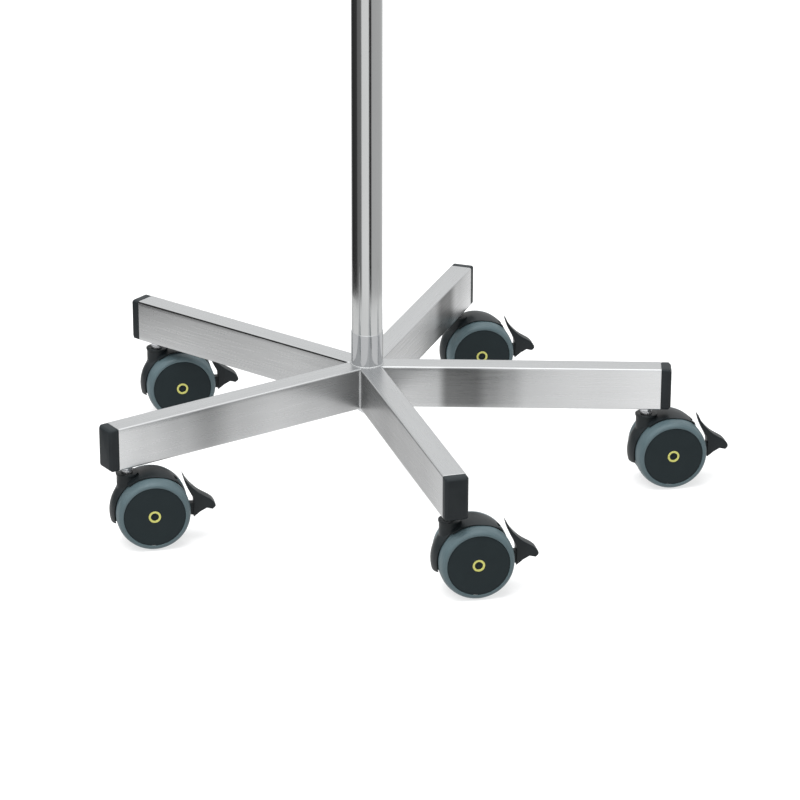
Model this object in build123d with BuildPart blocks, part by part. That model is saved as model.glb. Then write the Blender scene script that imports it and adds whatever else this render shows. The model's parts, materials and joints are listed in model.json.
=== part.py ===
from build123d import *
import os
from math import cos, radians, sin, tan

# Five-legged wheeled stand with a telescopic pole and a four-hook head.
# Millimetres, +Z up.  The origin is on the floor, on the axis of the pole.

# ---- base ----
leg_count = 5
leg_pitch_deg = 360 / leg_count
first_leg_deg = -2.0
leg_width = 24.0
leg_height = 45.0
leg_wall = 1.5
leg_corner = 1.8
leg_inner_corner = 1.0
leg_top = 131.0
leg_bottom = leg_top - leg_height
leg_end = 305.0
cap_thickness = 10.5
cap_chamfer = 2.5
cap_corner = 2.6
cap_plug_length = 6.0
cap_plug_wall = 2.0
cap_plug_corner = 1.2
fit_gap = 0.1  # gap on each side of a plastic plug in a tube
hair = 0.02  # radial gap of a pressed or screwed fit

# ---- hub and pole ----
pole_radius = 16.0
pole_wall = 2.0
pole_top = 1240.0
sleeve_radius = 16.6
sleeve_top = leg_top + 35.0
sleeve_floor = 5.0
insert_length = 30.0
bolt_radius = 5.0
bolt_length = 28.0
bolt_head_flats = 17.0
bolt_head_height = 6.4
bolt_hole_gap = 0.2  # radial gap of a through hole
end_chamfer = 1.0
washer_radius = 12.0
washer_thickness = 2.0

# ---- inner mast, guide and clamp ----
mast_radius = 12.5
mast_wall = 1.5
mast_length = 950.0
running_gap = 0.05  # radial clearance of everything that turns or slides
bush_length = 60.0
bush_flange = 3.0
collar_radius = 22.0
collar_height = 45.0
clamp_height = pole_top - collar_height / 2
boss_radius = 9.0
boss_end = 32.0
collar_chamfer = 1.5
screw_radius = 4.0
screw_start = mast_radius + 0.4
knob_start = boss_end + 1.5
knob_length = 20.0
knob_radius = 19.0
knob_lobe_radius = 7.0
knob_lobes = 5
knob_edge = 2.5

# ---- hook head ----
head_radius = 16.0
head_height = 60.0
head_edge = 6.0
head_bottom = pole_top + bush_flange + 0.3
mast_top = head_bottom + 47.0
hook_count = 4
hook_rod_radius = 3.5
hook_height = head_bottom + 46.0
hook_route = [(10, 0), (36, 0), (58, -20), (84, -20), (94, 8)]  # out from the axis, up from the rod's root
hook_bends = [12, 12, 9]
tip_radius = 6.5

# ---- casters ----
wheel_radius = 37.5
trail = 24.0  # from the swivel axis to the axle, along the caster
caster_heading_deg = 10.5  # every caster trails this way, measured from +X
swivel_radius = 290.5  # from the pole to each swivel axis
web_half = 7.0
web_radius = 36.5
wheel_inner = 7.5
wheel_outer = 27.0
face_depth = 0.4
rim_radius = 31.2
rim_wall = 2.5
web_boss_radius = 12.0
pedal_pin_gap = 0.4
tread_start = 10.0
tread_end = 15.0
axle_radius = 4.0
axle_half = 22.5
axle_end_gap = 0.5
axle_chamfer = 0.6
wheel_hub_radius = 9.0
ring_outer = 6.35
ring_inner = 3.9
ring_depth = 0.8
hood_half = 15.5
hood_radius = 40.8
hood_edge_radius = 39.4
hood_shift = (-1.8, -0.6)  # centre of the hood's curve from the axle, so that it runs out thin behind
hood_bore_radius = 32.5
hood_clearance_radius = 38.5
hood_trailing_deg = 44.0
hood_leading_deg = 195.0
hood_change_deg = (118.0, 128.0)  # the broad and the leading arch overlap here, over the swivel axis
hood_leading_half = 12.0
hood_leading_edge_radius = 37.4
neck_radius = 10.5
neck_foot = 39.0
neck_top = 77.8
neck_flange = 1.5
neck_flange_radius = 11.3
stem_collar_radius = 6.0
stem_collar_bottom = neck_top + 0.4
journal_radius = 5.0
journal_bottom = 60.0
stem_thread_radius = 5.0
stem_top = leg_bottom + 11.0
nut_flats = 16.0
nut_height = 8.0

# ---- brake pedal, about the axle: along the trail, then up ----
pedal_pivot = (31.0, -3.0)
pedal_pin_radius = 2.5
pedal_boss_radius = 5.5
pedal_half = 6.3
pedal_toe_corner = 3.0
pedal_arm_half = 4.0
pedal_slot_half = 4.3
pedal_slot_start = 23.5
pedal_tip = (31.5, 35.4)
pedal_outer = [(34.8, 28.6), (41.5, 19.8), (49.2, 12.8), (56.8, 8.0), (62.8, 2.8)]
pedal_toe = (64.9, -2.0)
pedal_underside = [(61.3, -4.6), (55.2, -3.0), (48.6, -6.6), (42.0, -11.8)]
pedal_inner = [(42.6, 3.0), (41.5, 9.0), (38.3, 15.6), (34.5, 23.9)]

leg_angles = [first_leg_deg + n * leg_pitch_deg for n in range(leg_count)]
leg_places = [Location((0, 0, 0), (0, 0, angle)) for angle in leg_angles]
caster_places = [
    Location(
        (swivel_radius * cos(radians(angle)), swivel_radius * sin(radians(angle)), 0),
        (0, 0, caster_heading_deg),
    )
    for angle in leg_angles
]
stem_places = [Location(place.position) for place in caster_places]
axle_plane = Plane(origin=(trail, 0, wheel_radius), x_dir=(0, 1, 0), z_dir=(1, 0, 0))
side_plane = Plane(origin=(trail, 0, wheel_radius), x_dir=(1, 0, 0), z_dir=(0, -1, 0))
axle_line = Axis((trail, 0, wheel_radius), (0, 1, 0))
hood_centre = (trail + hood_shift[0], 0, wheel_radius + hood_shift[1])
hood_plane = Plane(origin=hood_centre, x_dir=(0, 1, 0), z_dir=(1, 0, 0))


def save(shape, name, place=Location()):
    """Write one named piece, moved from the frame it was drawn in to its place."""
    placed = shape.moved(place)
    placed.label = name
    export_step(placed, f"parts/{name}.step")


def save_group(shape, name, places):
    """Write equal fasteners as separate solids of one node."""
    group = Compound(children=[shape.moved(place) for place in places])
    group.label = name
    export_step(group, f"parts/{name}.step")


os.makedirs("parts", exist_ok=True)

# ---------------------------------------------------------------- legs and end caps
with BuildPart() as leg:
    with BuildSketch(Plane.YZ):
        with Locations((0, leg_bottom + leg_height / 2)):
            RectangleRounded(leg_width, leg_height, leg_corner)
            RectangleRounded(
                leg_width - 2 * leg_wall,
                leg_height - 2 * leg_wall,
                leg_inner_corner,
                mode=Mode.SUBTRACT,
            )
    extrude(amount=leg_end)
    # mitred against both neighbours, then coped around the hub sleeve
    half_spread = leg_end * tan(radians(leg_pitch_deg / 2))
    with BuildSketch(Plane.XY):
        with BuildLine():
            Polyline((0, 0), (leg_end, -half_spread), (leg_end, half_spread), close=True)
        make_face()
    extrude(amount=leg_top, mode=Mode.INTERSECT)
    with BuildSketch(Plane.XY.offset(leg_bottom)):
        Circle(sleeve_radius + hair)
    extrude(amount=leg_height, mode=Mode.SUBTRACT)
    with BuildSketch(Plane.XY.offset(leg_bottom)):
        with Locations((swivel_radius, 0)):
            Circle(stem_thread_radius + bolt_hole_gap)
    extrude(amount=leg_wall * 2, mode=Mode.SUBTRACT)

with BuildPart() as end_cap:
    with BuildSketch(Plane.YZ.offset(leg_end)):
        with Locations((0, leg_bottom + leg_height / 2)):
            RectangleRounded(leg_width, leg_height, cap_corner)
    extrude(amount=cap_thickness)
    chamfer(end_cap.faces().sort_by(Axis.X)[-1].edges(), cap_chamfer)
    plug_inset = 2 * (leg_wall + fit_gap)
    with BuildSketch(Plane.YZ.offset(leg_end)):
        with Locations((0, leg_bottom + leg_height / 2)):
            RectangleRounded(leg_width - plug_inset, leg_height - plug_inset, cap_plug_corner)
            Rectangle(
                leg_width - plug_inset - 2 * cap_plug_wall,
                leg_height - plug_inset - 2 * cap_plug_wall,
                mode=Mode.SUBTRACT,
            )
    extrude(amount=-cap_plug_length)

for n, place in enumerate(leg_places, start=1):
    save(leg.part, f"leg{n}", place)
    save(end_cap.part, f"leg{n}_end_cap", place)

# ---------------------------------------------------------------- hub sleeve and pole
with BuildPart() as hub_sleeve:
    with BuildSketch(Plane.XY.offset(leg_bottom)):
        Circle(sleeve_radius)
    extrude(amount=sleeve_top - leg_bottom)
    with BuildSketch(Plane.XY.offset(leg_bottom + sleeve_floor)):
        Circle(pole_radius + hair)
    extrude(amount=sleeve_top - leg_bottom, mode=Mode.SUBTRACT)
    with BuildSketch(Plane.XY.offset(leg_bottom)):
        Circle(bolt_radius + bolt_hole_gap)
    extrude(amount=sleeve_floor, mode=Mode.SUBTRACT)
save(hub_sleeve.part, "hub_sleeve")

pole_bottom = leg_bottom + sleeve_floor
with BuildPart() as pole_tube:
    with BuildSketch(Plane.XY.offset(pole_bottom)):
        Circle(pole_radius)
        Circle(pole_radius - pole_wall, mode=Mode.SUBTRACT)
    extrude(amount=pole_top - pole_bottom)
    with BuildSketch(Plane.XZ.offset(-pole_radius)):
        with Locations((0, clamp_height)):
            Circle(screw_radius + bolt_hole_gap)
    extrude(amount=pole_radius * 2, mode=Mode.SUBTRACT)
    # only the front wall is drilled: the rear half of the cut is filled again
    with BuildSketch(Plane.XY.offset(clamp_height - boss_radius)):
        Circle(pole_radius)
        Circle(pole_radius - pole_wall, mode=Mode.SUBTRACT)
        with Locations((0, -pole_radius)):
            Rectangle(pole_radius * 2, pole_radius * 2, mode=Mode.SUBTRACT)
    extrude(amount=boss_radius * 2)
save(pole_tube.part, "pole_tube")

with BuildPart() as pole_insert:
    with BuildSketch(Plane.XY.offset(pole_bottom)):
        Circle(pole_radius - pole_wall - hair)
        Circle(bolt_radius + hair, mode=Mode.SUBTRACT)
    extrude(amount=insert_length)
save(pole_insert.part, "pole_insert")

with BuildPart() as hub_washer:
    with BuildSketch(Plane.XY.offset(leg_bottom)):
        Circle(washer_radius)
        Circle(bolt_radius + bolt_hole_gap, mode=Mode.SUBTRACT)
    extrude(amount=-washer_thickness)
save(hub_washer.part, "hub_washer")

with BuildPart() as hub_bolt:
    head_top = leg_bottom - washer_thickness
    with BuildSketch(Plane.XY.offset(head_top)):
        RegularPolygon(bolt_head_flats / 2, 6, major_radius=False)
    extrude(amount=-bolt_head_height)
    with BuildSketch(Plane.XY.offset(head_top)):
        Circle(bolt_radius)
    extrude(amount=bolt_length)
    chamfer(hub_bolt.edges().group_by(Axis.Z)[-1], end_chamfer)
save(hub_bolt.part, "hub_bolt")

# ---------------------------------------------------------------- mast guide and clamp
with BuildPart() as guide_bush:
    with BuildSketch(Plane.XY.offset(pole_top - bush_length)):
        Circle(pole_radius - pole_wall - hair)
    extrude(amount=bush_length)
    with BuildSketch(Plane.XY.offset(pole_top)):
        Circle(pole_radius)
    extrude(amount=bush_flange)
    with BuildSketch(Plane.XY.offset(pole_top - bush_length)):
        Circle(mast_radius + running_gap)
    extrude(amount=bush_length + bush_flange, mode=Mode.SUBTRACT)
    with BuildSketch(Plane.XZ):
        with Locations((0, clamp_height)):
            Circle(screw_radius + bolt_hole_gap)
    extrude(amount=pole_radius, mode=Mode.SUBTRACT)
save(guide_bush.part, "guide_bush")

with BuildPart() as clamp_collar:
    with BuildSketch(Plane.XY.offset(pole_top - collar_height)):
        Circle(collar_radius)
    extrude(amount=collar_height)
    chamfer(clamp_collar.edges().filter_by(GeomType.CIRCLE), collar_chamfer)
    with BuildSketch(Plane.XZ):
        with Locations((0, clamp_height)):
            Circle(boss_radius)
    extrude(amount=boss_end)
    with BuildSketch(Plane.XY.offset(pole_top - collar_height)):
        Circle(pole_radius + hair)
    extrude(amount=collar_height, mode=Mode.SUBTRACT)
    with BuildSketch(Plane.XZ):
        with Locations((0, clamp_height)):
            Circle(screw_radius + running_gap)
    extrude(amount=boss_end, mode=Mode.SUBTRACT)
save(clamp_collar.part, "clamp_collar")

with BuildPart() as clamp_screw:
    with BuildSketch(Plane.XZ.offset(screw_start)):
        with Locations((0, clamp_height)):
            Circle(screw_radius)
    extrude(amount=knob_start + knob_length / 2 - screw_start)
    chamfer(clamp_screw.edges().group_by(Axis.Y)[-1], 0.8)
save(clamp_screw.part, "clamp_screw")

with BuildPart() as clamp_knob:
    with BuildSketch(Plane.XZ.offset(knob_start)):
        with Locations((0, clamp_height)):
            Circle(knob_radius - knob_lobe_radius)
            with PolarLocations(knob_radius - knob_lobe_radius, knob_lobes):
                Circle(knob_lobe_radius)
    extrude(amount=knob_length)
    fillet(clamp_knob.edges().group_by(Axis.Y)[0], knob_edge)
    with BuildSketch(Plane.XZ.offset(knob_start)):
        with Locations((0, clamp_height)):
            Circle(screw_radius + hair)
    extrude(amount=knob_length / 2, mode=Mode.SUBTRACT)
save(clamp_knob.part, "clamp_knob")

# ---------------------------------------------------------------- mast and hook head
with BuildPart() as inner_mast:
    with BuildSketch(Plane.XY.offset(mast_top - mast_length)):
        Circle(mast_radius)
        Circle(mast_radius - mast_wall, mode=Mode.SUBTRACT)
    extrude(amount=mast_length)
save(inner_mast.part, "inner_mast")

with BuildPart() as hook_head:
    with BuildSketch(Plane.XY.offset(head_bottom)):
        Circle(head_radius)
    extrude(amount=head_height)
    fillet(hook_head.edges().group_by(Axis.Z)[-1], head_edge)
    with BuildSketch(Plane.XY.offset(head_bottom)):
        Circle(mast_radius + hair)
    extrude(amount=mast_top - head_bottom, mode=Mode.SUBTRACT)
save(hook_head.part, "hook_head")

hook_plane = Plane(origin=(0, 0, hook_height), x_dir=(1, 0, 0), z_dir=(0, -1, 0))
with BuildPart() as hook:
    with BuildLine(hook_plane) as hook_line:
        FilletPolyline(*hook_route, radius=hook_bends)
    with BuildSketch(Plane(origin=hook_line.line @ 0, z_dir=hook_line.line % 0)):
        Circle(hook_rod_radius)
    sweep(path=hook_line.line)
    with BuildSketch(Plane.XY.offset(head_bottom)):
        Circle(head_radius + hair)
    extrude(amount=head_height, mode=Mode.SUBTRACT)
hook_end = hook_line.line @ 1
hook_aim = hook_line.line % 1

with BuildPart() as hook_tip:
    with Locations(hook_end):
        Sphere(tip_radius)
    with BuildSketch(Plane(origin=hook_end, z_dir=hook_aim)):
        Circle(hook_rod_radius + hair)
    extrude(amount=-2 * tip_radius, mode=Mode.SUBTRACT)

hook_places = [Location((0, 0, 0), (0, 0, n * 360 / hook_count)) for n in range(hook_count)]
save_group(hook.part, "hooks", hook_places)
save_group(hook_tip.part, "hook_tips", hook_places)

# ---------------------------------------------------------------- caster stems and their nuts
with BuildPart() as caster_stem:
    with BuildSketch(Plane.XY.offset(journal_bottom)):
        Circle(journal_radius)
    extrude(amount=stem_collar_bottom - journal_bottom)
    chamfer(caster_stem.edges().group_by(Axis.Z)[0], end_chamfer)
    with BuildSketch(Plane.XY.offset(stem_collar_bottom)):
        Circle(stem_collar_radius)
    extrude(amount=leg_bottom - stem_collar_bottom)
    with BuildSketch(Plane.XY.offset(leg_bottom)):
        Circle(stem_thread_radius)
    extrude(amount=stem_top - leg_bottom)
    chamfer(caster_stem.edges().group_by(Axis.Z)[-1], end_chamfer)
save_group(caster_stem.part, "caster_stems", stem_places)

with BuildPart() as stem_nut:
    with BuildSketch(Plane.XY.offset(leg_bottom + leg_wall)):
        RegularPolygon(nut_flats / 2, 6, major_radius=False, rotation=30)
        Circle(stem_thread_radius + hair, mode=Mode.SUBTRACT)
    extrude(amount=nut_height)
nut_places = [Location(place.position, (0, 0, angle)) for place, angle in zip(caster_places, leg_angles)]
save_group(stem_nut.part, "stem_nuts", nut_places)

# ---------------------------------------------------------------- caster housing
reach = 2 * hood_radius


def hood_arch(half, edge_radius, sector_deg):
    """A crowned arch over the wheels, between the first and the last angle about the axle."""
    with BuildPart() as arch:
        with BuildSketch(hood_plane):
            with BuildLine():
                Line((-half, hood_bore_radius), (-half, edge_radius))
                ThreePointArc((-half, edge_radius), (0, hood_radius), (half, edge_radius))
                Line((half, edge_radius), (half, hood_bore_radius))
                Line((half, hood_bore_radius), (-half, hood_bore_radius))
            make_face()
        revolve(axis=Axis(hood_centre, (0, 1, 0)))
        with BuildSketch(side_plane):
            with BuildLine():
                Polyline(
                    (0, 0),
                    *[(reach * cos(radians(a)), reach * sin(radians(a))) for a in sector_deg],
                    close=True,
                )
            make_face()
        extrude(amount=half, both=True, mode=Mode.INTERSECT)
    return arch.part


broad_sector = (hood_trailing_deg, 75, 105, hood_change_deg[1])
leading_sector = (hood_change_deg[0], 150, 175, hood_leading_deg)
with BuildPart() as housing:
    add(hood_arch(hood_half, hood_edge_radius, broad_sector))
    add(hood_arch(hood_leading_half, hood_leading_edge_radius, leading_sector))
    # web between the wheels, around the axle
    with BuildSketch(side_plane):
        Circle(web_radius)
        with Locations((0, web_radius / 4)):
            Rectangle(2 * web_radius, 1.5 * web_radius, mode=Mode.INTERSECT)
        Circle(web_boss_radius)
    extrude(amount=web_half, both=True)
    # neck over the swivel axis, with a thin flange on top
    with BuildSketch(Plane.XY.offset(neck_foot)):
        Circle(neck_radius)
    extrude(amount=neck_top - neck_foot)
    with BuildSketch(Plane.XY.offset(neck_top - neck_flange)):
        Circle(neck_flange_radius)
    extrude(amount=neck_flange)
    # room for the two wheels
    for side in (1, -1):
        with BuildSketch(side_plane.offset(side * web_half)):
            Circle(hood_clearance_radius)
        extrude(amount=side * wheel_outer, mode=Mode.SUBTRACT)
    # bores of the stem, the axle and the pedal, and the slot that the pedal's arm works in
    with BuildSketch(Plane.XY.offset(journal_bottom - 1)):
        Circle(journal_radius + running_gap)
    extrude(amount=neck_top - journal_bottom + 1, mode=Mode.SUBTRACT)
    with BuildSketch(side_plane):
        Circle(axle_radius + hair)
        with Locations(pedal_pivot):
            Circle(pedal_pin_radius + running_gap)
    extrude(amount=web_half, both=True, mode=Mode.SUBTRACT)
    with BuildSketch(side_plane):
        with Locations((pedal_slot_start + web_radius / 2, 0)):
            Rectangle(web_radius, 3 * web_radius)
    extrude(amount=pedal_slot_half, both=True, mode=Mode.SUBTRACT)

# ---------------------------------------------------------------- axle, wheels and tyres
with BuildPart() as axle:
    with BuildSketch(side_plane):
        Circle(axle_radius)
    extrude(amount=axle_half, both=True)
    chamfer(axle.edges().filter_by(GeomType.CIRCLE), axle_chamfer)

face = wheel_outer - face_depth
bore_end = axle_half + axle_end_gap
rim_inner = rim_radius - rim_wall
with BuildPart() as right_wheel:
    with BuildSketch(axle_plane):
        with BuildLine():
            Polyline(
                (wheel_inner, axle_radius + running_gap),
                (wheel_inner, wheel_hub_radius),
                (bore_end, wheel_hub_radius),
                (bore_end, rim_inner),
                (wheel_inner + 1, rim_inner),
                (wheel_inner + 1, rim_radius),
                (face, rim_radius),
                (face, ring_outer),
                (face - ring_depth, ring_outer),
                (face - ring_depth, ring_inner),
                (face, ring_inner),
                (face, 0),
                (bore_end, 0),
                (bore_end, axle_radius + running_gap),
                close=True,
            )
        make_face()
    revolve(axis=axle_line)

with BuildPart() as right_tyre:
    with BuildSketch(axle_plane):
        with BuildLine():
            Line((wheel_inner + 0.5, rim_radius + hair), (wheel_inner + 0.5, wheel_radius - 2.0))
            ThreePointArc(
                (wheel_inner + 0.5, wheel_radius - 2.0),
                (wheel_inner + 1.2, wheel_radius - 0.6),
                (tread_start, wheel_radius),
            )
            Line((tread_start, wheel_radius), (tread_end, wheel_radius))
            ThreePointArc(
                (tread_end, wheel_radius),
                (wheel_outer - 3.5, wheel_radius - 2.0),
                (wheel_outer, rim_radius + 1.0),
            )
            Line((wheel_outer, rim_radius + 1.0), (wheel_outer, rim_radius + hair))
            Line((wheel_outer, rim_radius + hair), (wheel_inner + 0.5, rim_radius + hair))
        make_face()
    revolve(axis=axle_line)

with BuildPart() as left_wheel:
    mirror(right_wheel.part, about=Plane.XZ)
with BuildPart() as left_tyre:
    mirror(right_tyre.part, about=Plane.XZ)

# ---------------------------------------------------------------- brake pedal
with BuildPart() as brake_pedal:
    with BuildSketch(side_plane):
        with BuildLine():
            Spline(pedal_tip, *pedal_outer, pedal_toe)
            Polyline(pedal_toe, *pedal_underside, pedal_inner[0])
            Spline(*pedal_inner, pedal_tip)
        make_face()
    extrude(amount=pedal_half, both=True)
    # the toe is rounded as seen from above
    with BuildSketch(Plane.XY):
        with Locations((trail + pedal_toe[0] - wheel_radius, 0)):
            RectangleRounded(2 * wheel_radius, 2 * pedal_half, pedal_toe_corner)
    extrude(amount=reach, mode=Mode.INTERSECT)
    with BuildSketch(side_plane):
        with Locations(pedal_pivot):
            Circle(pedal_boss_radius)
        with BuildLine():
            Polyline(
                (pedal_pivot[0], pedal_pivot[1] + pedal_boss_radius),
                (pedal_inner[0][0] + 1, pedal_inner[0][1] - 1),
                (pedal_underside[-1][0] + 1, pedal_underside[-1][1] + 1),
                (pedal_pivot[0], pedal_pivot[1] - pedal_boss_radius),
                close=True,
            )
        make_face()
    extrude(amount=pedal_arm_half, both=True)
    with BuildSketch(side_plane):
        with Locations(pedal_pivot):
            Circle(pedal_pin_radius)
    extrude(amount=web_half - pedal_pin_gap, both=True)

caster_pieces = {
    "housing": housing,
    "axle": axle,
    "left_wheel": left_wheel,
    "left_tyre": left_tyre,
    "right_wheel": right_wheel,
    "right_tyre": right_tyre,
    "brake_pedal": brake_pedal,
}
for n, place in enumerate(caster_places, start=1):
    for piece_name, piece in caster_pieces.items():
        save(piece.part, f"caster{n}_{piece_name}", place)
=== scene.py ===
"""Looks of the wheeled infusion stand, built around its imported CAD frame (Blender 4.5, metres)."""

import json
from math import atan2, cos, pi, radians, sin, sqrt, tan

import bpy
from mathutils import Matrix, Vector


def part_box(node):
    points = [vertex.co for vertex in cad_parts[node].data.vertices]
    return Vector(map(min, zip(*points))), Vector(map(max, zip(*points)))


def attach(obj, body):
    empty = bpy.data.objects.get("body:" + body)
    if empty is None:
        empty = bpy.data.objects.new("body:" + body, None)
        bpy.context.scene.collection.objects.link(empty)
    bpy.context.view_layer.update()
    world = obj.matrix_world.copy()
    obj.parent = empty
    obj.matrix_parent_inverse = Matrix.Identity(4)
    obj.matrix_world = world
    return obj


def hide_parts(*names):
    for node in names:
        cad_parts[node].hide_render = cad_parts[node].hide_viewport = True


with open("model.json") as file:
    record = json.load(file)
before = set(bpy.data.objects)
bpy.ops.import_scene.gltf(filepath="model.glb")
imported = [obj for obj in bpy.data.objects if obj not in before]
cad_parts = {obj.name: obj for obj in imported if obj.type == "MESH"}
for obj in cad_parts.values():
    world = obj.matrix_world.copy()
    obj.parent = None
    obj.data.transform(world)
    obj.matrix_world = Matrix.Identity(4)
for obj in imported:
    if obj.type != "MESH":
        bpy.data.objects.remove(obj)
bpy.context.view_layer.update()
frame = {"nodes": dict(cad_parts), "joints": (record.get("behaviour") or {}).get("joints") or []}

MM = 0.001
JOINTS = {joint["name"]: joint for joint in frame["joints"]}
LEGS = range(1, 6)
SIDES = {"left": -1, "right": 1}

# ------------------------------------------------------------------ places read from the frame


def box_size(node):
    low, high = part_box(node)
    return high - low


leg_low, leg_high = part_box("leg1")
leg_bottom, leg_top = leg_low.z, leg_high.z
leg_height = leg_top - leg_bottom
leg_middle = (leg_top + leg_bottom) / 2
sleeve_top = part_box("hub_sleeve")[1].z
sleeve_radius = box_size("hub_sleeve").x / 2
pole_low, pole_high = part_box("pole_tube")
pole_radius = box_size("pole_tube").x / 2
mast_low, mast_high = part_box("inner_mast")
mast_radius = box_size("inner_mast").x / 2
head_low, head_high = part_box("hook_head")
head_radius = box_size("hook_head").x / 2
tyre_low, tyre_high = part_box("caster1_left_tyre")
wheel_radius = (tyre_high.z - tyre_low.z) / 2

# sizes that the frame's boxes don't give directly
leg_width = 24 * MM
leg_end = 305 * MM
leg_corner = 1.8 * MM
cap_corner = 2.6 * MM
cap_length = 10.5 * MM
cap_chamfer = 2.5 * MM
hub_bore = 5.2 * MM
pole_wall = 2 * MM
mast_wall = 1.5 * MM
tube_edge = 0.3 * MM
stem_radius = 6 * MM
stem_journal = 5 * MM
stem_collar_bottom = leg_bottom - 7.8 * MM
wheel_inner = 7.5 * MM
wheel_outer = 27 * MM
wheel_face = wheel_outer - 0.4 * MM
rim_radius = 31.2 * MM
axle_half = 22.5 * MM
axle_radius = 4 * MM
leg_pitch = radians(72)


def swivel_place(n):
    """Frame of caster n: origin on the floor below its swivel, X along its trail."""
    swivel = Vector(JOINTS[f"caster{n}_swivel"]["pos_m"])
    across = Vector(JOINTS[f"caster{n}_left_spin"]["axis"])
    heading = atan2(-across.x, across.y)
    return Matrix.Translation((swivel.x, swivel.y, 0)) @ Matrix.Rotation(heading, 4, "Z")


def leg_angle(n):
    swivel = JOINTS[f"caster{n}_swivel"]["pos_m"]
    return atan2(swivel[1], swivel[0])


caster_place = {n: swivel_place(n) for n in LEGS}
leg_place = {n: Matrix.Rotation(leg_angle(n), 4, "Z") for n in LEGS}
axle_local = caster_place[1].inverted() @ Vector(JOINTS["caster1_left_spin"]["pos_m"])

# ------------------------------------------------------------------ mesh building


def mesh_object(name, verts, faces, smooth_angle=35):
    mesh = bpy.data.meshes.new(name)
    mesh.from_pydata([tuple(v) for v in verts], [], faces)
    mesh.validate()
    mesh.update()
    piece = bpy.data.objects.new(name, mesh)
    bpy.context.scene.collection.objects.link(piece)
    shade(piece, smooth_angle)
    return piece


def shade(piece, angle):
    """Smooth shading that keeps edges sharper than the given angle crisp."""
    mesh = piece.data
    mesh.shade_smooth()
    mesh.set_sharp_from_angle(angle=radians(angle))


def loft(name, rings, close_start=False, close_end=False, loop=False, smooth_angle=35):
    """Skin over rings of equal point counts; each ring is closed on itself."""
    count = len(rings[0])
    verts = [p for ring in rings for p in ring]
    faces = []
    spans = len(rings) if loop else len(rings) - 1
    for i in range(spans):
        a, b = i * count, ((i + 1) % len(rings)) * count
        for k in range(count):
            j = (k + 1) % count
            faces.append((a + k, a + j, b + j, b + k))
    if close_start:
        faces.append(tuple(reversed(range(count))))
    if close_end:
        last = (len(rings) - 1) * count
        faces.append(tuple(range(last, last + count)))
    return mesh_object(name, verts, faces, smooth_angle)


def lathe(name, profile, axis="Z", centre=(0, 0, 0), segments=96, smooth_angle=30):
    """Surface of revolution around Z or Y. profile is (along the axis, radius)."""
    centre = Vector(centre)
    smallest = 1e-6  # a point on the axis gets this radius, so that no face collapses
    rings = []
    for along, radius in profile:
        radius = max(radius, smallest)
        ring = []
        for k in range(segments):
            a = 2 * pi * k / segments
            if axis == "Z":
                point = Vector((radius * cos(a), radius * sin(a), along))
            else:
                point = Vector((radius * sin(a), along, radius * cos(a)))
            ring.append(centre + point)
        rings.append(ring)
    return loft(name, rings, smooth_angle=smooth_angle)


def arc(centre, radius, start_deg, end_deg, steps):
    """Points of an arc in a profile plane."""
    angles = [radians(start_deg + (end_deg - start_deg) * k / steps) for k in range(steps + 1)]
    return [(centre[0] + radius * cos(a), centre[1] + radius * sin(a)) for a in angles]


def rounded_rectangle(width, height, corner, side_steps=12):
    """Closed outline in (y, z), with points along its sides so that a cut can follow a curve."""
    corner_steps = 5
    half_w, half_h = width / 2 - corner, height / 2 - corner
    quarters = [
        (half_w, half_h, 0),
        (-half_w, half_h, 90),
        (-half_w, -half_h, 180),
        (half_w, -half_h, 270),
    ]
    outline = []
    for i, (cy, cz, start) in enumerate(quarters):
        bend = arc((cy, cz), corner, start, start + 90, corner_steps)
        outline += bend
        last = bend[-1]
        ny, nz, next_start = quarters[(i + 1) % 4]
        following = arc((ny, nz), corner, next_start, next_start + 90, 1)[0]
        for k in range(1, side_steps):
            t = k / side_steps
            point = (last[0] * (1 - t) + following[0] * t, last[1] * (1 - t) + following[1] * t)
            outline.append(point)
    return outline


def tube(name, route, radius, ripple, ripple_pitch=2.2 * MM, close=False):
    """Weld bead along a route: ripple swells it in even beads, and open ends taper."""
    sides = 16
    drift_rate = 371  # radians per metre of a slower swelling that breaks the evenness
    end_size, end_growth = 0.45, 0.2  # size at an open end, and what each further ring adds
    rings = []
    normal = None
    travelled = 0.0
    count = len(route)
    for i, point in enumerate(route):
        before = route[i - 1] if (i or close) else route[i]
        after = route[(i + 1) % count] if (i + 1 < count or close) else route[i]
        tangent = (after - before).normalized()
        if normal is None:
            normal = tangent.orthogonal().normalized()
        normal = (normal - tangent * normal.dot(tangent)).normalized()
        side = tangent.cross(normal)
        if i:
            travelled += (point - route[i - 1]).length
        beads = abs(sin(pi * travelled / ripple_pitch)) - 0.5
        swell = 1 + ripple * beads + 0.5 * ripple * sin(drift_rate * travelled)
        end_taper = 1.0
        if not close:
            end_taper = min(1.0, end_size + end_growth * min(i, count - 1 - i))
        r = radius * swell * end_taper
        ring = []
        for k in range(sides):
            a = 2 * pi * k / sides
            ring.append(point + (normal * cos(a) + side * sin(a)) * r)
        rings.append(ring)
    return loft(
        name, rings, close_start=not close, close_end=not close, loop=close, smooth_angle=50
    )


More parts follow.
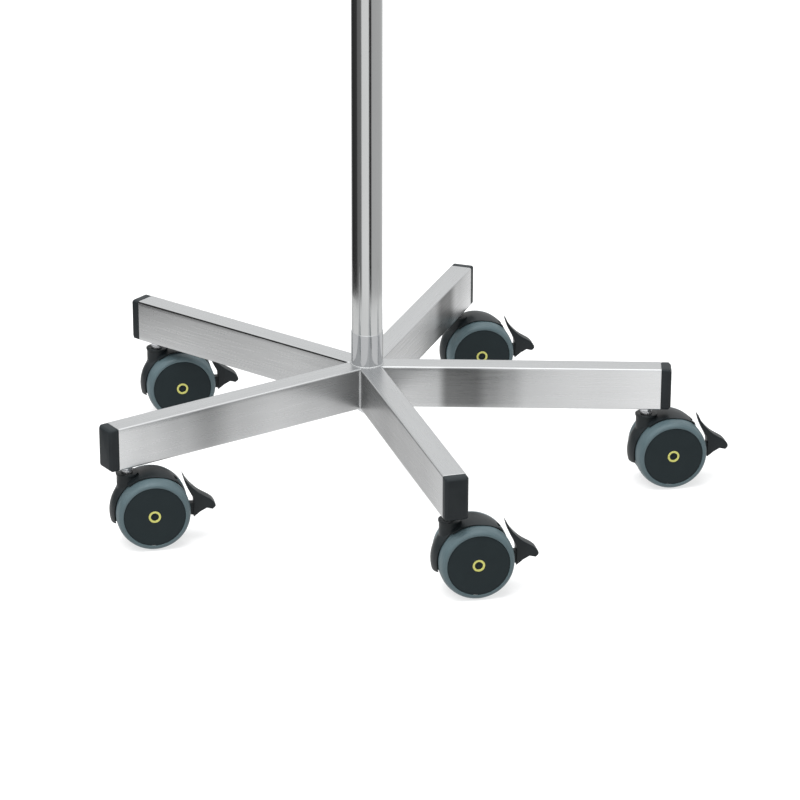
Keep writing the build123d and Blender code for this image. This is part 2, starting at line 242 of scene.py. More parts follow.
def rounded_copy(node, name, width, segments):
    """Detailed stand-in of a CAD node: the same solid with every sharp edge rounded."""
    source = frame["nodes"][node]
    piece = bpy.data.objects.new(name, source.data.copy())
    piece.data.materials.clear()
    bpy.context.scene.collection.objects.link(piece)
    weld = piece.modifiers.new("weld", "WELD")
    weld.merge_threshold = 0.02 * MM
    flat = piece.modifiers.new("flat", "DECIMATE")
    flat.decimate_type = "DISSOLVE"
    flat.angle_limit = radians(0.6)
    bevel = piece.modifiers.new("bevel", "BEVEL")
    bevel.width = width
    bevel.segments = segments
    bevel.limit_method = "ANGLE"
    bevel.angle_limit = radians(28)
    bpy.context.view_layer.update()
    evaluated = piece.evaluated_get(bpy.context.evaluated_depsgraph_get())
    mesh = bpy.data.meshes.new_from_object(evaluated)
    piece.modifiers.clear()
    piece.data = mesh
    shade(piece, 40)
    return piece


def own_frame(piece, place):
    """Move a mesh drawn in the row frame into its own frame, where textures follow the piece."""
    piece.data.transform(place.inverted())
    piece.matrix_world = place


def fit(piece, material, body, slot, *nodes):
    """Dress a piece, let it ride on its body and stand for its CAD nodes."""
    piece.data.materials.clear()
    piece.data.materials.append(material)
    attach(piece, body)
    if nodes:
        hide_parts(*nodes)


def copy_at(piece, name, place):
    """Another object with the same mesh."""
    twin = bpy.data.objects.new(name, piece.data)
    bpy.context.scene.collection.objects.link(twin)
    twin.matrix_world = place
    return twin


# ------------------------------------------------------------------ materials

WHITE = (1, 1, 1, 1)
# painted dark reflection along a leg's rounded top edge: upward part of the surface's normal, and
# how dark the steel's colour is painted there
PAINTED_EDGE_REFLECTION = [(0.12, 1), (0.22, 0.04), (0.80, 0.06), (0.93, 1)]


class NodeTree:
    """Small helper around the node tree of a material or of the world."""

    def __init__(self, owner):
        owner.use_nodes = True
        self.tree = owner.node_tree
        self.tree.nodes.clear()

    def node(self, kind, **settings):
        made = self.tree.nodes.new(kind)
        for key, value in settings.items():
            setattr(made, key, value)
        return made

    def join(self, source, output, target, socket):
        self.tree.links.new(source.outputs[output], target.inputs[socket])

    def ramp(self, source, output, stops):
        """Colour ramp; stops lists (place, red-green-blue)."""
        made = self.node("ShaderNodeValToRGB")
        elements = made.color_ramp.elements
        while len(elements) < len(stops):
            elements.new(0.5)
        for element, (place, colour) in zip(elements, stops):
            element.position = place
            element.color = (*colour, 1)
        self.join(source, output, made, "Fac")
        return made

    def mapped(self, source, output, start, end, low=0, high=1):
        """A value from start..end mapped to low..high."""
        made = self.node("ShaderNodeMapRange")
        made.inputs["From Min"].default_value = start
        made.inputs["From Max"].default_value = end
        made.inputs["To Min"].default_value = low
        made.inputs["To Max"].default_value = high
        self.join(source, output, made, "Value")
        return made

    def mix(self, factor, a, b, **settings):
        """Mixed colour; factor, a and b are each a (node, output) pair or a plain value."""
        made = self.node("ShaderNodeMix", data_type="RGBA", **settings)
        for socket, given in (("Factor", factor), ("A", a), ("B", b)):
            if isinstance(given, tuple) and len(given) == 2:
                self.join(*given, made, socket)
            else:
                made.inputs[socket].default_value = given
        return made, "Result"


class Shader(NodeTree):
    """One material with a principled surface."""

    def __init__(self, name):
        self.material = bpy.data.materials.new(name)
        super().__init__(self.material)
        self.surface = self.node("ShaderNodeBsdfPrincipled")
        output = self.node("ShaderNodeOutputMaterial")
        self.join(self.surface, "BSDF", output, "Surface")
        self.coords = self.node("ShaderNodeTexCoord")

    def set(self, **values):
        for key, value in values.items():
            self.surface.inputs[key.replace("_", " ")].default_value = value

    def noise(self, scale, size, detail, rough):
        """Noise in the piece's own frame, stretched where scale is small."""
        mapping = self.node("ShaderNodeMapping")
        mapping.inputs["Scale"].default_value = scale
        self.join(self.coords, "Object", mapping, "Vector")
        texture = self.node("ShaderNodeTexNoise")
        texture.inputs["Scale"].default_value = size
        texture.inputs["Detail"].default_value = detail
        texture.inputs["Roughness"].default_value = rough
        self.join(mapping, "Vector", texture, "Vector")
        return texture

    def roughen(self, texture, low, high):
        """Roughness from low to high over the usual span of a noise."""
        rough = self.mapped(texture, "Fac", 0.25, 0.75, low, high)
        self.join(rough, "Result", self.surface, "Roughness")

    def bump(self, texture, height):
        made = self.node("ShaderNodeBump")
        made.inputs["Strength"].default_value = 1.0
        made.inputs["Distance"].default_value = height
        self.join(texture, "Fac", made, "Height")
        self.join(made, "Normal", self.surface, "Normal")

    def paint_dark_edge_reflection(self, tint, facing):
        """The tint, with a painted dark reflection where the surface turns from an upright +Y face
        into the top face.
        """
        painted_edge_band = self.ramp(facing, "Z", [(rise, [level] * 3) for rise, level in PAINTED_EDGE_REFLECTION])
        side = self.node("ShaderNodeMath", operation="GREATER_THAN")
        side.inputs[1].default_value = 0.05
        self.join(facing, "Y", side, "Value")
        return self.mix((side, "Value"), tint, (painted_edge_band, "Color"), blend_type="MULTIPLY")

    def paint_side_reflections(self, tint, stops, painted_dark_edge):
        """The tint times painted reflections, light and dark, that change along the piece, on its
        upright faces only.
        """
        place = self.node("ShaderNodeSeparateXYZ")
        self.join(self.coords, "Object", place, "Vector")
        length = stops[-1][0]
        along = self.mapped(place, "X", 0, length * MM)
        top = max(level for _, level in stops)
        # painted reflections, light and dark, along the piece
        painted_tones = self.ramp(along, "Result", [(x / length, [level / top] * 3) for x, level in stops])
        painted_tones.color_ramp.interpolation = "EASE"
        lifted = self.node("ShaderNodeVectorMath", operation="SCALE")
        lifted.inputs["Scale"].default_value = top
        self.join(painted_tones, "Color", lifted, "Vector")
        facing = self.node("ShaderNodeSeparateXYZ")
        self.join(self.coords, "Normal", facing, "Vector")
        upward = self.node("ShaderNodeMath", operation="ABSOLUTE")
        self.join(facing, "Z", upward, "Value")
        # painted dark reflection along the top edge of the upright face
        if painted_dark_edge:
            tint = self.paint_dark_edge_reflection(tint, facing)
        tone = self.mix((upward, "Value"), (lifted, "Vector"), WHITE)
        return self.mix(1, tint, tone, blend_type="MULTIPLY")


def ground_steel(name, tone, grain_scale, roughness, relief, sides=None, painted_dark_edge=False):
    """Stainless steel with a linear grind; grain_scale is small along the grind.

    sides lists (distance along the tube in mm, tone of the painted reflections on its upright faces
    there); the dark-edge flag adds a painted dark reflection along their top edge.
    """
    shader = Shader(name)
    shader.set(Metallic=1.0)
    fine = shader.noise(grain_scale, 900, 5, 0.65)
    broad = shader.noise(tuple(0.5 * s + 0.02 for s in grain_scale), 60, 3, 0.5)
    darker, lighter = [0.93 * c for c in tone], [1.04 * c for c in tone]
    tint = (shader.ramp(broad, "Fac", [(0.25, darker), (0.75, lighter)]), "Color")
    if sides:
        tint = shader.paint_side_reflections(tint, sides, painted_dark_edge)
    shader.join(*tint, shader.surface, "Base Color")
    shader.roughen(fine, *roughness)
    shader.bump(fine, relief)
    return shader.material


def moulded(name, dark, light, roughness, specular=0.3, grain=1400.0):
    """Moulded plastic or rubber: fine grain, a slow drift of tone and gloss."""
    shader = Shader(name)
    shader.set(Specular_IOR_Level=specular)
    grains = shader.noise((1, 1, 1), grain, 3, 0.55)
    drift = shader.noise((1, 1, 1), 55, 3, 0.5)
    tint = shader.ramp(drift, "Fac", [(0.3, dark), (0.7, light)])
    shader.join(tint, "Color", shader.surface, "Base Color")
    shader.roughen(drift, *roughness)
    shader.bump(grains, 0.02 * MM)
    return shader.material


# painted reflections, light and dark, on each leg's upright faces: (distance along the tube in mm,
# tone)
LEG_PAINTED_REFLECTIONS = {
    1: [
        (20, 1.16),
        (72, 1.08),
        (84, 0.40),
        (112, 0.38),
        (128, 0.66),
        (148, 0.84),
        (168, 1.10),
        (235, 1.18),
        (305, 1.34),
    ],
    2: [
        (20, 0.96),
        (130, 1.04),
        (176, 0.90),
        (206, 0.26),
        (230, 0.30),
        (256, 1.02),
        (305, 1.40),
    ],
    3: [(20, 0.82), (90, 0.97), (180, 0.93), (250, 1.02), (305, 1.06)],
    4: [
        (20, 0.72),
        (70, 0.94),
        (120, 1.07),
        (165, 0.94),
        (200, 0.66),
        (235, 0.93),
        (270, 1.12),
        (305, 1.28),
    ],
    5: [(20, 0.46), (60, 0.62), (110, 0.56), (160, 0.66), (235, 0.74), (305, 0.95)],
}
# the leg whose upright face gets a painted dark reflection along its top edge
PAINTED_EDGE_LEG = 3


# each leg gets its own copy of the steel, with its own painted reflections
def leg_steel_with_painted_reflections(n):
    tone, grain, roughness = (0.665, 0.672, 0.676), (0.02, 1, 1), (0.22, 0.38)
    painted_dark_edge = n == PAINTED_EDGE_LEG
    name = f"leg_steel_with_painted_reflections{n}"
    return ground_steel(name, tone, grain, roughness, 0.012 * MM, LEG_PAINTED_REFLECTIONS[n], painted_dark_edge)


LEG_STEEL_WITH_PAINTED_REFLECTIONS = {n: leg_steel_with_painted_reflections(n) for n in LEGS}
POLE_STEEL = ground_steel(
    "pole_steel", (0.655, 0.665, 0.665), (1, 1, 0.015), (0.07, 0.15), 0.003 * MM
)
# the pole's ground stainless made darker for the sleeve: painted shade
SLEEVE_STEEL_PAINTED_SHADE = ground_steel(
    "sleeve_steel_painted_shade", (0.56, 0.570, 0.582), (1, 1, 0.03), (0.09, 0.18), 0.004 * MM
)
TURNED_STEEL = ground_steel(
    "turned_steel", (0.64, 0.645, 0.645), (1, 1, 0.2), (0.20, 0.34), 0.006 * MM
)
WELD_STEEL = ground_steel("weld_steel", (0.70, 0.71, 0.715), (1, 1, 1), (0.16, 0.34), 0.05 * MM)
ZINC = ground_steel("bright_zinc", (0.80, 0.81, 0.83), (1, 1, 1), (0.18, 0.36), 0.01 * MM)
CAP_PLASTIC = moulded(
    "cap_plastic", (0.0085, 0.0112, 0.0130), (0.0115, 0.0150, 0.0170), (0.40, 0.52), 0.26
)
HOUSING_PLASTIC = moulded(
    "housing_plastic", (0.0080, 0.0108, 0.0122), (0.0108, 0.0142, 0.0158), (0.32, 0.44), 0.26
)
WHEEL_PLASTIC = moulded(
    "wheel_plastic", (0.0080, 0.0140, 0.0162), (0.0100, 0.0168, 0.0190), (0.48, 0.58), 0.20
)
TYRE_RUBBER = moulded(
    "tyre_rubber", (0.060, 0.090, 0.100), (0.070, 0.104, 0.115), (0.36, 0.48), 0.40, 900.0
)
RING_PLASTIC = moulded("ring_plastic", (0.43, 0.42, 0.115), (0.50, 0.49, 0.14), (0.38, 0.50))
KNOB_PLASTIC = moulded(
    "knob_plastic", (0.010, 0.010, 0.011), (0.015, 0.015, 0.016), (0.28, 0.38), 0.45
)

# ------------------------------------------------------------------ base


def leg_ring(outline, x):
    """Outline of a leg's section, placed across the tube at x."""
    return [Vector((x, y, leg_middle + z)) for y, z in outline]


def build_leg():
    """Box tube along +X in its own frame, mitred at the hub and coped around the sleeve."""
    outline = rounded_rectangle(leg_width, leg_height, leg_corner)

    def inner_end(y):
        mitre = abs(y) / tan(leg_pitch / 2)
        cope = sqrt(max(sleeve_radius**2 - y * y, 0))
        return max(mitre, cope)

    rings = [[Vector((inner_end(y), y, leg_middle + z)) for y, z in outline]]
    for x in (40 * MM, 120 * MM, 210 * MM, leg_end - 2 * MM):
        rings.append(leg_ring(outline, x))
    edge = 0.35 * MM
    hidden_rim = 1.4 * MM
    corner_shrink = 0.8
    for x, inset in ((leg_end - edge, 0.0), (leg_end, edge), (leg_end, hidden_rim)):
        width, height = leg_width - 2 * inset, leg_height - 2 * inset
        shrunk = rounded_rectangle(width, height, leg_corner - corner_shrink * inset)
        rings.append(leg_ring(shrunk, x))
    return loft("leg", rings, smooth_angle=40)


def build_end_cap():
    """Moulded cap: a seam against the tube, straight sides and a chamfered, crowned face."""
    end = leg_end + cap_length
    steps = [
        (leg_end + 0.02 * MM, 0.5 * MM),
        (leg_end + 0.45 * MM, 0.35 * MM),
        (leg_end + 0.8 * MM, 0.05 * MM),
        (leg_end + 1.2 * MM, 0.0),
        (end - cap_chamfer - 0.4 * MM, 0.0),
        (end - cap_chamfer + 0.1 * MM, 0.2 * MM),
        (end - 0.5 * MM, cap_chamfer - 0.7 * MM),
        (end - 0.12 * MM, cap_chamfer - 0.1 * MM),
        (end, cap_chamfer + 0.6 * MM),
    ]
    corner_shrink = 0.35
    rings = []
    for x, inset in steps:
        width, height = leg_width - 2 * inset, leg_height - 2 * inset
        corner = cap_corner - corner_shrink * inset
        rings.append(leg_ring(rounded_rectangle(width, height, corner, side_steps=4), x))
    return loft("end_cap", rings, close_end=True, smooth_angle=25)


def build_base():
    leg = build_leg()
    cap = build_end_cap()
    for n in LEGS:
        tube_piece = copy_at(leg, f"leg{n}_tube", leg_place[n])
        tube_piece.data = leg.data.copy()  # a mesh of its own, since each leg has its own steel with painted reflections
        fit(tube_piece, LEG_STEEL_WITH_PAINTED_REFLECTIONS[n], "base", "brushed_stainless", f"leg{n}")
        cap_piece = copy_at(cap, f"leg{n}_cap", leg_place[n])
        fit(cap_piece, CAP_PLASTIC, "base", "cap_plastic", f"leg{n}_end_cap")
    for pattern in (leg, cap):
        bpy.data.objects.remove(pattern)


def build_sleeve_and_pole():
    sleeve = lathe(
        "hub_sleeve_tube",
        [
            (leg_bottom, hub_bore),
            (leg_bottom, sleeve_radius - tube_edge),
            (leg_bottom + tube_edge, sleeve_radius),
            (sleeve_top - tube_edge, sleeve_radius),
            (sleeve_top, sleeve_radius - tube_edge),
            (sleeve_top, pole_radius),
        ],
    )
    fit(sleeve, SLEEVE_STEEL_PAINTED_SHADE, "base", "brushed_stainless", "hub_sleeve")
    pole = lathe(
        "pole",
        [
            (pole_low.z, pole_radius - pole_wall),
            (pole_low.z, pole_radius),
            (pole_high.z - tube_edge, pole_radius),
            (pole_high.z, pole_radius - tube_edge),
            (pole_high.z, pole_radius - pole_wall),
            (pole_low.z, pole_radius - pole_wall),
        ],
        segments=128,
    )
    fit(pole, POLE_STEEL, "base", "brushed_stainless", "pole_tube")


def weld(name, route, radius, **ripples):
    fit(tube(name, route, radius, **ripples), WELD_STEEL, "base", "brushed_stainless")


def level_circle(radius, height, count=160):
    """Even points on a level circle around the pole's axis."""
    turns = [2 * pi * k / count for k in range(count)]
    return [Vector((cos(a), sin(a), 0)) * radius + Vector((0, 0, height)) for a in turns]


def build_welds():
    """Beads in the corners between neighbouring legs, across the leg tops and around the sleeve."""
    corner_radius = leg_width / 2 / sin(leg_pitch / 2)
    upright_radius = corner_radius + 0.35 * MM
    across_length = corner_radius + 0.6 * MM - sleeve_radius
    low, high = leg_bottom + 1.2 * MM, leg_top - 0.8 * MM
    upright_steps = 34
    across_steps = 8
    for n in LEGS:
        angle = leg_angle(n) + leg_pitch / 2
        out = Vector((cos(angle), sin(angle), 0))
        upright = [
            out * upright_radius + Vector((0, 0, low + (high - low) * k / upright_steps))
            for k in range(upright_steps + 1)
        ]
        weld(f"corner_weld{n}", upright, 1.2 * MM, ripple=0.22)
        across = [
            out * (sleeve_radius + across_length * k / across_steps)
            + Vector((0, 0, leg_top - 0.6 * MM))
            for k in range(across_steps + 1)
        ]
        weld(f"top_weld{n}", across, 0.9 * MM, ripple=0.25)
    foot = level_circle(sleeve_radius + 0.1 * MM, leg_top - 0.05 * MM)
    weld("sleeve_weld", foot, 0.85 * MM, ripple=0.3, close=True)
    lip = level_circle(pole_radius + 0.2 * MM, sleeve_top - 0.1 * MM)
    weld("sleeve_top_weld", lip, 0.35 * MM, ripple=0.3, ripple_pitch=1.6 * MM, close=True)


def build_stem_shaft(n, low, high):
    """Journal, round collar and the shaft up into the leg."""
    collar_top = stem_collar_bottom + 3.0 * MM
    on_axis = 1e-5
    return lathe(
        f"stem{n}",
        [
            (low, on_axis),
            (low, stem_journal - 1 * MM),
            (low + 1 * MM, stem_journal),
            (stem_collar_bottom, stem_journal),
            (stem_collar_bottom, stem_radius - 0.3 * MM),
            (stem_collar_bottom + 0.3 * MM, stem_radius),
            (stem_collar_bottom + 2.7 * MM, stem_radius),
            (collar_top, stem_radius - 0.4 * MM),
            (collar_top, stem_journal),
            (high, stem_journal),
            (high, on_axis),
        ],
        segments=48,
    )


def build_stem_hexagon(n):
    """Hexagon for the spanner, between the round collar and the leg."""
    segments = 48
    sixth = pi / 3
    across_flats = stem_radius * cos(sixth / 2)
    widest = stem_radius - 0.25 * MM
    rings = []
    for z, inset in (
        (stem_collar_bottom + 3.0 * MM, 0.35 * MM),
        (stem_collar_bottom + 3.3 * MM, 0.0),
        (leg_bottom - 0.5 * MM, 0.0),
        (leg_bottom - 0.05 * MM, 0.5 * MM),
    ):
        ring = []
        for k in range(segments):
            a = 2 * pi * k / segments
            sector = (a + sixth / 2) % sixth - sixth / 2
            r = min(across_flats / cos(sector), widest) - inset
            ring.append(Vector((r * cos(a), r * sin(a), z)))
        rings.append(ring)
    return loft(f"stem_hexagon{n}", rings, close_start=True, close_end=True, smooth_angle=20)


def build_stems():
    """Bright collar with a hexagon under each leg, above the swivel."""
    low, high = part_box("caster_stems")
    for n in LEGS:
        shaft = build_stem_shaft(n, low.z, high.z)
        shaft.matrix_world = caster_place[n]
        # one CAD node holds all five stems, so only the first piece stands for it
        names = ("caster_stems",) if n == 1 else ()
        fit(shaft, ZINC, "base", "zinc_steel", *names)
        hexagon = build_stem_hexagon(n)
        hexagon.matrix_world = caster_place[n]
        fit(hexagon, ZINC, "base", "zinc_steel")


# ------------------------------------------------------------------ casters


def wheel_profile(side):
    """Wheel disc in section: (across, radius). Its outer face is flat, with a ring groove."""
    hub_end = 23 * MM
    hub_radius = 9 * MM
    bore = 4.05 * MM
    rim_foot = rim_radius - 2.5 * MM
    rim_top = rim_radius - 0.02 * MM
    face = wheel_face
    points = [
        (wheel_inner, bore),
        (wheel_inner, hub_radius - 0.4 * MM),
        (wheel_inner + 0.4 * MM, hub_radius),
        (hub_end, hub_radius),
        (hub_end, rim_foot),
        (wheel_inner + 1 * MM, rim_foot),
        (wheel_inner + 1 * MM, rim_top),
        (face - 0.7 * MM, rim_top),
        (face - 0.15 * MM, rim_radius - 0.35 * MM),
        (face, rim_radius - 0.9 * MM),
        (face - 0.05 * MM, rim_radius - 6 * MM),
        (face - 0.05 * MM, 7.2 * MM),
        (face, 6.75 * MM),
        (face - 0.1 * MM, 6.4 * MM),
        (face - 0.8 * MM, 6.3 * MM),
        (face - 0.8 * MM, 3.7 * MM),
        (face - 1.4 * MM, 3.5 * MM),
        (face - 1.6 * MM, 1.6 * MM),
        (face - 0.9 * MM, 1.2 * MM),
        (face - 0.8 * MM, 0.0),
    ]
    return [(side * y, r) for y, r in points]


def tyre_profile(side):
    """Tyre in section: bonded foot, moulded line at its outer shoulder, crowned side."""
    inner = wheel_inner + 0.5 * MM
    top = wheel_radius
    tread_edge = 15 * MM
    points = [
        (inner, rim_radius),
        (inner, top - 2.4 * MM),
        (inner + 0.25 * MM, top - 1.4 * MM),
        (inner + 0.8 * MM, top - 0.7 * MM),
        (inner + 1.8 * MM, top - 0.12 * MM),
        (10 * MM, top),
        (12.4 * MM, top),
        (tread_edge, top),
    ]
    # outer shoulder: nearly a quarter of an ellipse from the tread to the side wall
    shoulder_steps = 12
    shoulder_width = wheel_outer - tread_edge
    shoulder_drop = top - (rim_radius + 1.1 * MM)
    width_power, drop_power = 1.05, 0.92
    bead_height, bead_step, bead_reach = 0.22 * MM, 7, 1.2
    for k in range(1, shoulder_steps + 1):
        a = pi / 2 * k / shoulder_steps
        y = tread_edge + shoulder_width * sin(a) ** width_power
        r = top - shoulder_drop * (1 - cos(a) ** drop_power)
        bead = bead_height * max(0.0, 1 - ((k - bead_step) / bead_reach) ** 2)
        points.append((min(y, wheel_outer), r + bead))
    points += [
        (wheel_outer - 0.05 * MM, rim_radius + 0.55 * MM),
        (wheel_outer - 0.3 * MM, rim_radius + 0.2 * MM),
        (wheel_outer - 0.9 * MM, rim_radius),
    ]
    return [(side * y, r) for y, r in points]


def build_wheel(side_name):
    side = SIDES[side_name]
    disc = lathe("disc", wheel_profile(side), "Y", axle_local, 112)
    tyre = lathe("tyre", tyre_profile(side), "Y", axle_local, 144, smooth_angle=50)
    ring_section = [
        (wheel_face - 0.78 * MM, 6.2 * MM),
        (wheel_face - 0.15 * MM, 6.2 * MM),
        (wheel_face + 0.05 * MM, 5.95 * MM),
        (wheel_face + 0.05 * MM, 4.35 * MM),
        (wheel_face - 0.15 * MM, 4.1 * MM),
        (wheel_face - 0.78 * MM, 4.1 * MM),
    ]
    ring = lathe("ring", [(side * y, r) for y, r in ring_section], "Y", axle_local, 64)
    return disc, tyre, ring


def build_axle():
    edge = 0.6 * MM
    profile = [
        (-axle_half, 0),
        (-axle_half, axle_radius - edge),
        (-axle_half + edge, axle_radius),
        (axle_half - edge, axle_radius),
        (axle_half, axle_radius - edge),
        (axle_half, 0),
    ]
    return lathe("axle", profile, "Y", axle_local, 32)


def build_casters():
    patterns = {side: build_wheel(side) for side in SIDES}
    housing = rounded_copy("caster1_housing", "housing", 0.55 * MM, 3)
    own_frame(housing, caster_place[1])
    pedal = rounded_copy("caster1_brake_pedal", "pedal", 0.8 * MM, 3)
    own_frame(pedal, caster_place[1])
    axle = build_axle()
    for n in LEGS:
        place = caster_place[n]
        body = f"caster{n}"
        hood = copy_at(housing, f"{body}_hood", place)
        fit(hood, HOUSING_PLASTIC, body, "housing_plastic", f"{body}_housing")
        pin = copy_at(axle, f"{body}_pin", place)
        fit(pin, ZINC, body, "zinc_steel", f"{body}_axle")
        lever = copy_at(pedal, f"{body}_lever", place)
        fit(lever, HOUSING_PLASTIC, f"{body}_pedal", "housing_plastic", f"{body}_brake_pedal")
        for side_name, (disc, tyre, ring) in patterns.items():
            wheel = f"{body}_{side_name}"
            disc_copy = copy_at(disc, f"{wheel}_disc", place)
            fit(disc_copy, WHEEL_PLASTIC, wheel, "wheel_plastic", f"{wheel}_wheel")
            tyre_copy = copy_at(tyre, f"{wheel}_rubber", place)
            fit(tyre_copy, TYRE_RUBBER, wheel, "tyre_rubber", f"{wheel}_tyre")
            ring_copy = copy_at(ring, f"{wheel}_ring", place)
            fit(ring_copy, RING_PLASTIC, wheel, "wheel_plastic")
    leftovers = [housing, pedal, axle]
    for trio in patterns.values():
        leftovers += trio
    for pattern in leftovers:
        bpy.data.objects.remove(pattern)


# ------------------------------------------------------------------ upper end


def build_mast():
    mast = lathe(
        "mast_tube",
        [
            (mast_low.z, mast_radius - mast_wall),
            (mast_low.z, mast_radius - tube_edge),
            (mast_low.z + tube_edge, mast_radius),
            (mast_high.z, mast_radius),
            (mast_high.z, mast_radius - mast_wall),
            (mast_low.z, mast_radius - mast_wall),
        ],
        segments=112,
    )
    fit(mast, POLE_STEEL, "mast", "polished_stainless", "inner_mast")
    low, high = head_low.z, head_high.z
    crown = 6 * MM
    groove = head_radius - 0.6 * MM
    head = lathe(
        "head_boss",
        [
            (low, mast_radius),
            (low, head_radius - 0.8 * MM),
            (low + 0.8 * MM, head_radius),
            (low + 12 * MM, head_radius),
            (low + 12.6 * MM, groove),
            (low + 13.8 * MM, groove),
            (low + 14.4 * MM, head_radius),
        ]
        + [(z, r) for r, z in arc((head_radius - crown, high - crown), crown, 0, 90, 10)]
        + [(high, 0)],
        segments=96,
    )
    fit(head, TURNED_STEEL, "mast", "brushed_stainless", "hook_head")


def dress_kept_nodes():
    """CAD nodes whose own shape is shown."""
    kept = {
        "hub_bolt": ZINC,
        "hub_washer": ZINC,
        "pole_insert": ZINC,
        "stem_nuts": ZINC,
        "guide_bush": CAP_PLASTIC,
        "hooks": POLE_STEEL,
        "hook_tips": CAP_PLASTIC,
        "clamp_screw": ZINC,
    }
    for node, material in kept.items():
        mesh = frame["nodes"][node].data
        mesh.materials.clear()
        mesh.materials.append(material)
    collar = rounded_copy("clamp_collar", "collar", 0.5 * MM, 2)
    fit(collar, TURNED_STEEL, "base", "brushed_stainless", "clamp_collar")
    knob = rounded_copy("clamp_knob", "knob", 0.5 * MM, 2)
    fit(knob, KNOB_PLASTIC, "knob", "knob_plastic", "clamp_knob")


# ------------------------------------------------------------------ studio


# bearing around the stand in degrees, from the front (-Y) towards +X, and how bright it is there
STUDIO_FIELDS = [
    (-180, 0.75),
    (-150, 0.70),
    (-136, 0.03),
    (-78, 0.05),
    (-72, 0.17),
    (-42, 0.20),
    (-36, 0.90),
    (13, 0.92),
    (18, 0.04),
    (31, 0.04),
    (37, 0.52),
    (120, 0.55),
    (150, 0.70),
    (180, 0.75),
]
# sine of the height above the horizon, and how bright it is there
STUDIO_SKY = [(0.38, 0.84), (0.78, 1.0), (0.92, 1.9)]
SOFT_SKY = [(0.0, 0.42), (0.8, 1.0)]
FIELDS_END, SKY_START = 0.05, 0.40


def build_world():
    """Studio around the stand: bright above, and broad dark and light fields near the horizon."""
    world = bpy.data.worlds.new("studio")
    bpy.context.scene.world = world
    studio = NodeTree(world)
    coords = studio.node("ShaderNodeTexCoord")
    axes = studio.node("ShaderNodeSeparateXYZ")
    studio.join(coords, "Generated", axes, "Vector")
    back = studio.node("ShaderNodeMath", operation="MULTIPLY")
    back.inputs[1].default_value = -1
    studio.join(axes, "Y", back, 0)
    bearing = studio.node("ShaderNodeMath", operation="ARCTAN2")
    studio.join(axes, "X", bearing, 0)
    studio.join(back, "Value", bearing, 1)
    turn = studio.mapped(bearing, "Value", -pi, pi)
    bands = [((degrees + 180) / 360, [level] * 3) for degrees, level in STUDIO_FIELDS]
    fields = studio.ramp(turn, "Result", bands)
    # above the horizon the fields give way to an even bright sky
    height = studio.mapped(axes, "Z", FIELDS_END, SKY_START)
    tinted = [(rise, (0.985 * level, 0.995 * level, level)) for rise, level in STUDIO_SKY]
    above = studio.ramp(axes, "Z", tinted)
    sky = studio.mix((height, "Result"), (fields, "Color"), (above, "Color"))
    # matte surfaces are lit mostly from above
    path = studio.node("ShaderNodeLightPath")
    tinted = [(rise, (0.97 * level, 0.99 * level, level)) for rise, level in SOFT_SKY]
    soft = studio.ramp(axes, "Z", tinted)
    lit = studio.mix((path, "Is Diffuse Ray"), sky, (soft, "Color"))
    # what the camera sees directly is plain white
    shown = studio.mix((path, "Is Camera Ray"), lit, WHITE)
    background = studio.node("ShaderNodeBackground")
    output = studio.node("ShaderNodeOutputWorld")
    studio.join(*shown, background, "Color")
    studio.join(background, "Background", output, "Surface")


def build_floor():
    """White paper, lit from below as well, which takes most of the shadows away."""
    half = 30
    corners = [(-half, -half, 0), (half, -half, 0), (half, half, 0), (-half, half, 0)]
    floor = mesh_object("floor", corners, [(0, 1, 2, 3)])
    shader = Shader("floor_paper")
    speck = shader.noise((1, 1, 1), 300, 2, 0.5)
    tint = shader.ramp(speck, "Fac", [(0.3, [0.36] * 3), (0.7, [0.38] * 3)])
    shader.join(tint, "Color", shader.surface, "Base Color")
    shader.set(Roughness=0.9, Specular_IOR_Level=0.0)
    shader.set(Emission_Color=WHITE, Emission_Strength=0.66)
    floor.data.materials.append(shader.material)
    floor.visible_glossy = False


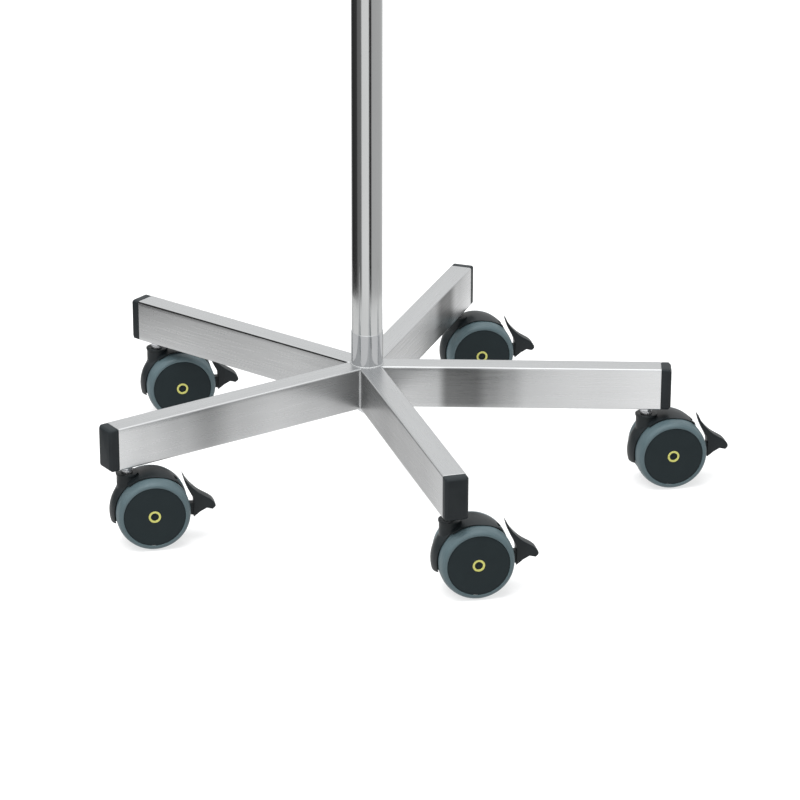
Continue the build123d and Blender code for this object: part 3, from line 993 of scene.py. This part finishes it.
def build_floor_glow():
    """The bright paper that the steel mirrors close to the stand."""
    segments = 96
    radius = 0.56
    height = -1 * MM
    turns = [2 * pi * k / segments for k in range(segments)]
    rim = [(radius * cos(a), radius * sin(a), height) for a in turns]
    paper = mesh_object("floor_glow", rim, [tuple(range(segments))])
    material = bpy.data.materials.new("paper_glow")
    glow = NodeTree(material)
    light = glow.node("ShaderNodeEmission")
    light.inputs["Strength"].default_value = 0.84
    output = glow.node("ShaderNodeOutputMaterial")
    glow.join(light, "Emission", output, "Surface")
    paper.data.materials.append(material)
    paper.visible_camera = False
    paper.visible_diffuse = False
    paper.visible_shadow = False
    paper.visible_transmission = False


def area_light(name, place, size, watts):
    """Soft box that shines at the base of the stand and isn't mirrored in it."""
    data = bpy.data.lights.new(name, "AREA")
    data.shape = "RECTANGLE"
    data.size, data.size_y = size
    data.energy = watts
    lamp = bpy.data.objects.new(name, data)
    bpy.context.scene.collection.objects.link(lamp)
    lamp.visible_glossy = False
    lamp.location = place
    aim = Vector((0, 0, 0.1)) - Vector(place)
    lamp.rotation_euler = aim.to_track_quat("-Z", "Y").to_euler()


def build_lights():
    area_light("overhead", (-0.6, -0.4, 3.2), (3.0, 3.0), 170)
    area_light("front_left", (-2.2, -2.6, 2.2), (1.4, 1.8), 22)


def build_camera():
    """The stand seen from in front and about 22 degrees above, through a long lens."""
    focal_in_widths = 4.5801
    distance, height = 3.5338, 1.5362
    yaw, pitch, roll = 0.0097, 0.3888, 0.0025
    level = Vector((sin(yaw), cos(yaw), 0))
    right = Vector((cos(yaw), -sin(yaw), 0))
    up = Vector((0, 0, 1))
    look = level * cos(pitch) - up * sin(pitch)
    rise = up * cos(pitch) + level * sin(pitch)
    side = right * cos(roll) + rise * sin(roll)
    top = rise * cos(roll) - right * sin(roll)
    data = bpy.data.cameras.new("camera")
    data.sensor_width = 36
    data.lens = focal_in_widths * data.sensor_width
    data.clip_end = 100
    camera = bpy.data.objects.new("camera", data)
    bpy.context.scene.collection.objects.link(camera)
    pose = Matrix((side, top, -look)).transposed().to_4x4()
    pose.translation = (0, -distance, height)
    camera.matrix_world = pose
    bpy.context.scene.camera = camera


build_base()
build_sleeve_and_pole()
build_welds()
build_stems()
build_casters()
build_mast()
dress_kept_nodes()
build_world()
build_floor()
build_floor_glow()
build_lights()
build_camera()
bpy.context.scene.view_settings.view_transform = "Standard"
